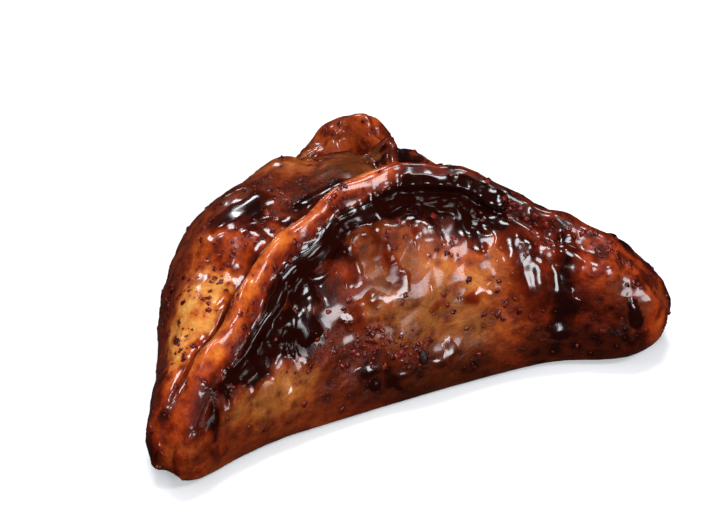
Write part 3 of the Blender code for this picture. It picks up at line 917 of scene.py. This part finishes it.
# How likely a flake is to lie in each cell of the skin: in drifts and clusters, and seldom in deep glaze,
# on the very crest or near the foot
SPARSE, DRIFT_SPACING = 0.16, 5.0
CREST_ROWS, CREST_KEEPS = 2, 0.5
CLEAN_FOOT = 2.5
DRIFT_FROM, DRIFT_RIM = 0.1, 0.3
DROWNED, DROWNING_DEPTH = 0.95, 0.25
areas = steps[:, BASE_ROWS:] * np.linalg.norm(np.roll(skin, -1, axis=0) - skin, axis=2)[:, BASE_ROWS:-1]
areas[:, ROWS - BASE_ROWS - CREST_ROWS:] *= CREST_KEEPS
grid_places = skin[:, BASE_ROWS:-1]
flat_places = grid_places.reshape(-1, 3)
crowding = np.full(areas.shape, SPARSE)
drifts = grain(flat_places, DRIFT_SPACING, 5.5)
crowding += eased((drifts - DRIFT_FROM) / DRIFT_RIM).reshape(areas.shape)
for side, weight, stops, reach in CLUSTERS:
    away, _ = near(trail(side, *stops), flat_places)
    crowding += weight * fading(away, reach).reshape(areas.shape)
crowding *= np.clip((grid_places[:, :, 2] / MM - CLEAN_FOOT) / FOOT_FADE, 0, 1)
sunk = np.zeros(skin.shape[:2])
sunk[column_of, row_of] = depth
crowding *= 1 - DROWNED * eased(sunk[:, BASE_ROWS:-1] / DROWNING_DEPTH)
chances = np.cumsum((areas * crowding).ravel())
picks = np.searchsorted(chances, [draw.random() * chances[-1] for _ in range(FLAKES)])
flakes = []
for pick in picks:
    guess = Vector(flat_places[pick])
    guess += Vector([draw.uniform(-FLAKE_SCATTER, FLAKE_SCATTER) * MM for _ in range(3)])
    skin_point, normal, _, _ = top.find_nearest(guess)
    point, normal = landing(skin_point, normal)
    size = draw.uniform(0, 1) ** MOSTLY_SMALL
    size = (FLAKE_SIZES[0] + (FLAKE_SIZES[1] - FLAKE_SIZES[0]) * size) * MM
    tilt = Vector([draw.uniform(-FLAKE_TILT, FLAKE_TILT) for _ in range(3)])
    turn = (normal + tilt).to_track_quat("Z", "Y").to_matrix().to_4x4()
    spin = Matrix.Rotation(draw.uniform(0, math.tau), 4, "Z")
    stretch = Matrix.Diagonal((size * draw.uniform(*FLAKE_STRETCH), size, size, 1))
    sink = point - normal * size * FLAKE_SINK
    mesh = chips[draw.randrange(len(chips))].copy()
    mesh.transform(Matrix.Translation(sink) @ turn @ spin @ stretch)
    flake = bpy.data.objects.new("flake", mesh)
    bpy.context.collection.objects.link(flake)
    flake.select_set(True)
    flakes.append(flake)

# Each flake bleeds a little into what it lies on
BLEED_DARKNESS, BLEED_REACH, BLEED_END = 0.18, 0.55, 1.2
stained = KDTree(len(flakes))
for index, flake in enumerate(flakes):
    stained.insert(flake.data.vertices[0].co, index)
stained.balance()
for piece in (dough, glaze):
    layer = piece.data.attributes["soaked_and_painted_light"].data
    for vertex in piece.data.vertices:
        away = stained.find(vertex.co)[2] / MM
        if away < BLEED_END:
            layer[vertex.index].value += BLEED_DARKNESS * math.exp(-((away / BLEED_REACH) ** 2))
bpy.context.view_layer.objects.active = flakes[0]
bpy.ops.object.join()
spice = bpy.context.object
spice.name = spice.data.name = "spice_flakes"

dried_spice = bpy.data.materials.new("dried_spice")
dried_spice.use_nodes = True
nodes, links = dried_spice.node_tree.nodes, dried_spice.node_tree.links
shader = nodes["Principled BSDF"]
ramp = nodes.new("ShaderNodeValToRGB")
ramp.color_ramp.elements[0].position, ramp.color_ramp.elements[1].position = 0.35, 0.70
ramp.color_ramp.elements[0].color = (0.040, 0.0035, 0.0025, 1)
ramp.color_ramp.elements[1].color = (0.165, 0.013, 0.006, 1)
links.new(mottling(nodes, links, 1.1, 1.0), ramp.inputs["Fac"])
links.new(ramp.outputs["Color"], shader.inputs["Base Color"])
dullness = between(nodes, links, mottling(nodes, links, 0.8), 0.3, 0.7, 0.12, 0.4)
links.new(dullness, shader.inputs["Roughness"])
shader.inputs["Coat Weight"].default_value = 0.15
shader.inputs["Coat Roughness"].default_value = 0.2
shader.inputs["Specular IOR Level"].default_value = 0.2
links.new(bumped(nodes, links, mottling(nodes, links, 0.3), 0.05), shader.inputs["Normal"])
spice.data.materials.clear()
spice.data.materials.append(dried_spice)
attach(spice, "root")


# ---- The seed --------------------------------------------------------------------------------------------
# One black nigella seed, fallen among the flakes low on the front and stuck down in the syrup. It is a
# little blunter at one end, with a dull, wrinkled coat.

SEED_SIZE = (2.10, 1.25, 0.95)
SEED_SHARE, SEED_DROP = 0.467, 23.1
SEED_LIFT = 0.2
SEED_TAPER = 0.25
SEED_DENTS, DENT_FINENESS = 0.10, 4
SEED_WRINKLES, WRINKLE_FINENESS = 0.05, 11

seat, normal, _, _ = top.find_nearest(Vector(spot(0, SEED_SHARE, SEED_DROP)))
seat, normal = landing(seat, normal)
bpy.ops.object.select_all(action="DESELECT")
bpy.ops.mesh.primitive_ico_sphere_add(subdivisions=4, radius=0.5)
seed = bpy.context.object
seed.name = seed.data.name = "seed"
for vertex in seed.data.vertices:
    dent = SEED_DENTS * noise.noise(vertex.co * DENT_FINENESS)
    vertex.co *= 1 + dent + SEED_WRINKLES * noise.noise(vertex.co * WRINKLE_FINENESS)
    vertex.co.z *= 1 - SEED_TAPER * vertex.co.x
sizes = Matrix.Diagonal((*[length * MM for length in SEED_SIZE], 1))
lying = normal.to_track_quat("Z", "X").to_matrix().to_4x4()
seed.data.transform(Matrix.Translation(seat + normal * SEED_LIFT * MM) @ lying @ sizes)
bpy.ops.object.shade_smooth()

seed_coat = bpy.data.materials.new("seed_coat")
seed_coat.use_nodes = True
nodes, links = seed_coat.node_tree.nodes, seed_coat.node_tree.links
shader = nodes["Principled BSDF"]
links.new(ramped(nodes, links, mottling(nodes, links, 0.3), (
    (0.3, (0.006, 0.003, 0.003)),
    (0.7, (0.022, 0.010, 0.008)),
)), shader.inputs["Base Color"])
shader.inputs["Roughness"].default_value = 0.4
shader.inputs["Specular IOR Level"].default_value = 0.2
seed.data.materials.append(seed_coat)
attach(seed, "root")


# ---- The table, the light and the camera -----------------------------------------------------------------
# A pale table top under one large soft light, with the windows that the glaze mirrors. The camera looks
# down on the pastry's long front side.

TABLE_SIZE, TABLE_GAP = 6, 0.0001
bpy.ops.object.select_all(action="DESELECT")
bpy.ops.mesh.primitive_plane_add(size=TABLE_SIZE, location=(0, 0, -TABLE_GAP))
table = bpy.context.object
table.name = "table_top"
pale = bpy.data.materials.new("pale_table")
pale.use_nodes = True
pale.node_tree.nodes["Principled BSDF"].inputs["Base Color"].default_value = (0.96, 0.96, 0.96, 1)
pale.node_tree.nodes["Principled BSDF"].inputs["Roughness"].default_value = 0.8
table.data.materials.append(pale)
table.visible_glossy = False
table.visible_diffuse = False

LAMP_DISTANCE = 0.9
LAMPS = (
    # name, azimuth and elevation in degrees, width and height, power, colour, mirrored in the glaze
    ("room", -70, 62, (0.90, 0.80), 2.6, (0.98, 0.98, 1.0), False),
    ("ceiling", 170, 78, (0.36, 0.26), 5.4, (0.95, 0.97, 1.0), True),
    ("window", 15, 23, (0.32, 0.34), 5.3, (0.95, 0.97, 1.0), True),
    ("back_window", -168, 28, (0.16, 0.14), 1.6, (0.92, 0.96, 1.0), True),
    ("left_window", -38, 34, (0.16, 0.26), 3.4, (0.95, 0.97, 1.0), True),
    ("shelf_window", 28, 50, (0.22, 0.14), 2.4, (0.95, 0.97, 1.0), True),
)


def direction(azimuth, elevation):
    """From the middle towards a lamp or the camera; azimuth 0 is the front, angles in degrees."""
    a, e = math.radians(azimuth), math.radians(elevation)
    return Vector((math.sin(a) * math.cos(e), -math.cos(a) * math.cos(e), math.sin(e)))


for name, azimuth, elevation, size, power, colour, mirrored in LAMPS:
    lamp = bpy.data.lights.new(name, "AREA")
    lamp.shape = "RECTANGLE"
    lamp.size, lamp.size_y = size
    lamp.energy = power
    lamp.color = colour
    holder = bpy.data.objects.new(name, lamp)
    holder.visible_glossy = mirrored
    bpy.context.scene.collection.objects.link(holder)
    back = direction(azimuth, elevation)
    holder.location = back * LAMP_DISTANCE
    holder.rotation_euler = back.to_track_quat("Z", "Y").to_euler()

world = bpy.data.worlds.new("room")
bpy.context.scene.world = world
world.use_nodes = True
world.node_tree.nodes["Background"].inputs["Color"].default_value = (0.95, 0.97, 1.0, 1)
world.node_tree.nodes["Background"].inputs["Strength"].default_value = 0.02

AZIMUTH, ELEVATION, DISTANCE = -23.5, 40, 0.55
middle = Vector((0.0, 0.0, 0.0115))
back = direction(AZIMUTH, ELEVATION)
lens = bpy.data.cameras.new("camera")
lens.lens = 200
lens.sensor_width = 36
lens.clip_start = 0.01
camera = bpy.data.objects.new("camera", lens)
bpy.context.scene.collection.objects.link(camera)
camera.location = middle + back * DISTANCE
camera.rotation_euler = back.to_track_quat("Z", "Y").to_euler()
bpy.context.scene.camera = camera
bpy.context.scene.view_settings.view_transform = "Standard"
